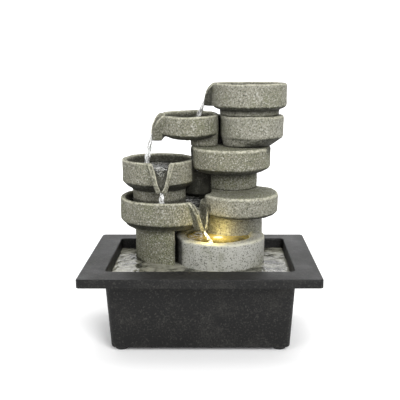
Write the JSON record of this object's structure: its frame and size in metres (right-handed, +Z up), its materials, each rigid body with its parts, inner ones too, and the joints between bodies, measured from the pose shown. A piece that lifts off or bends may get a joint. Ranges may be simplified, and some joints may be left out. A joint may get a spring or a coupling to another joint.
{
  "type": "tabletop water fountain",
  "caption": "Tabletop cascade fountain: stacked cast stone bowls with V spouts and a lit pool, lifting out of a rectangular tapered basin with a submersible pump inside.",
  "frame": {"origin": "under the middle of the basin, at the height its feet stand on", "axes": "+X to the right as the spouts are seen from the front, +Y to the back, +Z up"},
  "size_m": [0.22, 0.16, 0.246],
  "materials": {
    "cast_stone": "matt cast stone, fine sandy speckle, pale worn edges",
    "basin_plastic": "black, fine grained, satin",
    "black_rubber": "matt",
    "pump_plastic": "moulded, satin",
    "dial_plastic": "moulded, satin",
    "impeller_plastic": "moulded, smooth",
    "shaft_ceramic": "ground",
    "magnet": "sintered ferrite",
    "clear_hose": "milky soft tube",
    "lamp_plastic": "moulded",
    "lamp_emitter": "warm white emitter",
    "lamp_lens": "clear dome",
    "cable_sheath": "matt sheath"
  },
  "bodies": {
    "basin": {"basin": "basin_plastic", "cable_grommet": "black_rubber", "foot_front_left": "black_rubber", "foot_front_right": "black_rubber", "foot_rear_left": "black_rubber", "foot_rear_right": "black_rubber", "pump_housing": "pump_plastic", "chamber_plate": "pump_plastic", "impeller_shaft": "shaft_ceramic", "pump_gland": "black_rubber", "suction_cup_1": "black_rubber", "suction_cup_2": "black_rubber", "suction_cup_3": "black_rubber", "suction_cup_4": "black_rubber"},
    "stone_stack": {"lit_pool": "cast_stone", "pedestal": "cast_stone", "lower_bowl": "cast_stone", "lower_neck": "cast_stone", "lower_disc": "cast_stone", "upper_neck": "cast_stone", "middle_drum": "cast_stone", "middle_bowl": "cast_stone", "upper_drum": "cast_stone", "upper_bowl": "cast_stone", "top_bowl": "cast_stone", "rear_column": "cast_stone", "rear_post": "cast_stone", "riser_hose": "clear_hose", "outlet_nipple": "pump_plastic", "lamp_housing": "lamp_plastic", "lamp_board": "lamp_emitter", "lamp_lens": "lamp_lens", "lamp_seal": "black_rubber", "lamp_nut": "lamp_plastic", "lamp_plug": "lamp_plastic", "lamp_lead": "cable_sheath"},
    "impeller": {"impeller": "impeller_plastic", "rotor_magnet": "magnet"},
    "pump_cover": {"pump_cover": "pump_plastic"},
    "flow_dial": {"flow_dial": "dial_plastic"}
  },
  "joints": [
    {"name": "stack_lift", "type": "slide", "parent": "basin", "child": "stone_stack", "axis": [0, 0, 1], "range_m": [0, 0.09]},
    {"name": "impeller_spin", "type": "hinge", "parent": "basin", "child": "impeller", "pos_m": [0.02, 0.028, 0.023], "axis": [1, 0, 0], "continuous": true},
    {"name": "cover_pull", "type": "slide", "parent": "basin", "child": "pump_cover", "axis": [1, 0, 0], "range_m": [0, 0.0035]},
    {"name": "dial_turn", "type": "hinge", "parent": "pump_cover", "child": "flow_dial", "pos_m": [0.046, 0.028, 0.023], "axis": [1, 0, 0], "range_deg": [-60, 60]}
  ]
}
